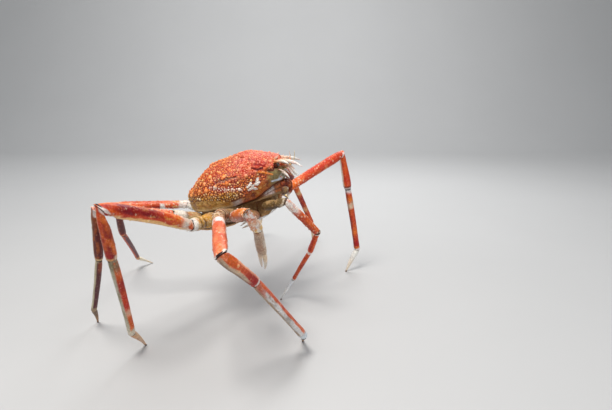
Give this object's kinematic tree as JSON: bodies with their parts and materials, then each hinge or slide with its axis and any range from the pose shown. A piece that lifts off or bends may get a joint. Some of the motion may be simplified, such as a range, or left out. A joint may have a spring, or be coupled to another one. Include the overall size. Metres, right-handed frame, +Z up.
{
  "type": "Japanese spider crab figure",
  "caption": "Long-legged spider crab standing on bent jointed legs, with a pear-shaped knobbly shell, forked beak spines and slender claws held under the front of the body.",
  "frame": {"origin": "on the floor, below the middle of the animal's outline seen from above", "axes": "+X towards the head, +Y towards the animal's left side, +Z up"},
  "size_m": [0.673, 1.0516, 0.3954],
  "materials": {
    "shell": "semi-matt granular shell, salmon red above and cream on the flanks",
    "belly": "matt, tan to olive underside",
    "hip": "semi-matt, pinkish cream",
    "limb": "semi-gloss shell banded orange, crimson and white",
    "arm": "semi-gloss, pinkish tan",
    "tip": "semi-gloss, cream to brown at the point",
    "feeler": "semi-matt, greenish cream",
    "eye": "glossy black"
  },
  "bodies": {
    "root": {"abdomen": "belly", "arm_left_finger": "tip", "arm_left_hip": "arm", "arm_left_palm": "arm", "arm_left_upper": "arm", "arm_left_wrist": "arm", "arm_right_finger": "tip", "arm_right_hip": "arm", "arm_right_palm": "arm", "arm_right_upper": "arm", "arm_right_wrist": "arm", "carapace": "shell", "chest": "belly", "eye_left": "eye", "eye_right": "eye", "feeler_left": "feeler", "feeler_right": "feeler", "leg_left_2_foot": "tip", "leg_left_2_hip": "hip", "leg_left_2_shin": "limb", "leg_left_2_thigh": "limb", "leg_left_2_wrist": "limb", "leg_left_3_foot": "tip", "leg_left_3_hip": "hip", "leg_left_3_shin": "limb", "leg_left_3_thigh": "limb", "leg_left_3_wrist": "limb", "leg_left_4_foot": "tip", "leg_left_4_hip": "hip", "leg_left_4_shin": "limb", "leg_left_4_thigh": "limb", "leg_left_4_wrist": "limb", "leg_left_5_foot": "tip", "leg_left_5_hip": "hip", "leg_left_5_shin": "limb", "leg_left_5_thigh": "limb", "leg_left_5_wrist": "limb", "leg_right_2_foot": "tip", "leg_right_2_hip": "hip", "leg_right_2_shin": "limb", "leg_right_2_thigh": "limb", "leg_right_2_wrist": "limb", "leg_right_3_foot": "tip", "leg_right_3_hip": "hip", "leg_right_3_shin": "limb", "leg_right_3_thigh": "limb", "leg_right_3_wrist": "limb", "leg_right_4_foot": "tip", "leg_right_4_hip": "hip", "leg_right_4_shin": "limb", "leg_right_4_thigh": "limb", "leg_right_4_wrist": "limb", "leg_right_5_foot": "tip", "leg_right_5_hip": "hip", "leg_right_5_shin": "limb", "leg_right_5_thigh": "limb", "leg_right_5_wrist": "limb", "mouth_plate_left": "belly", "mouth_plate_right": "belly", "mouth_wall": "belly"}
  },
  "joints": []
}
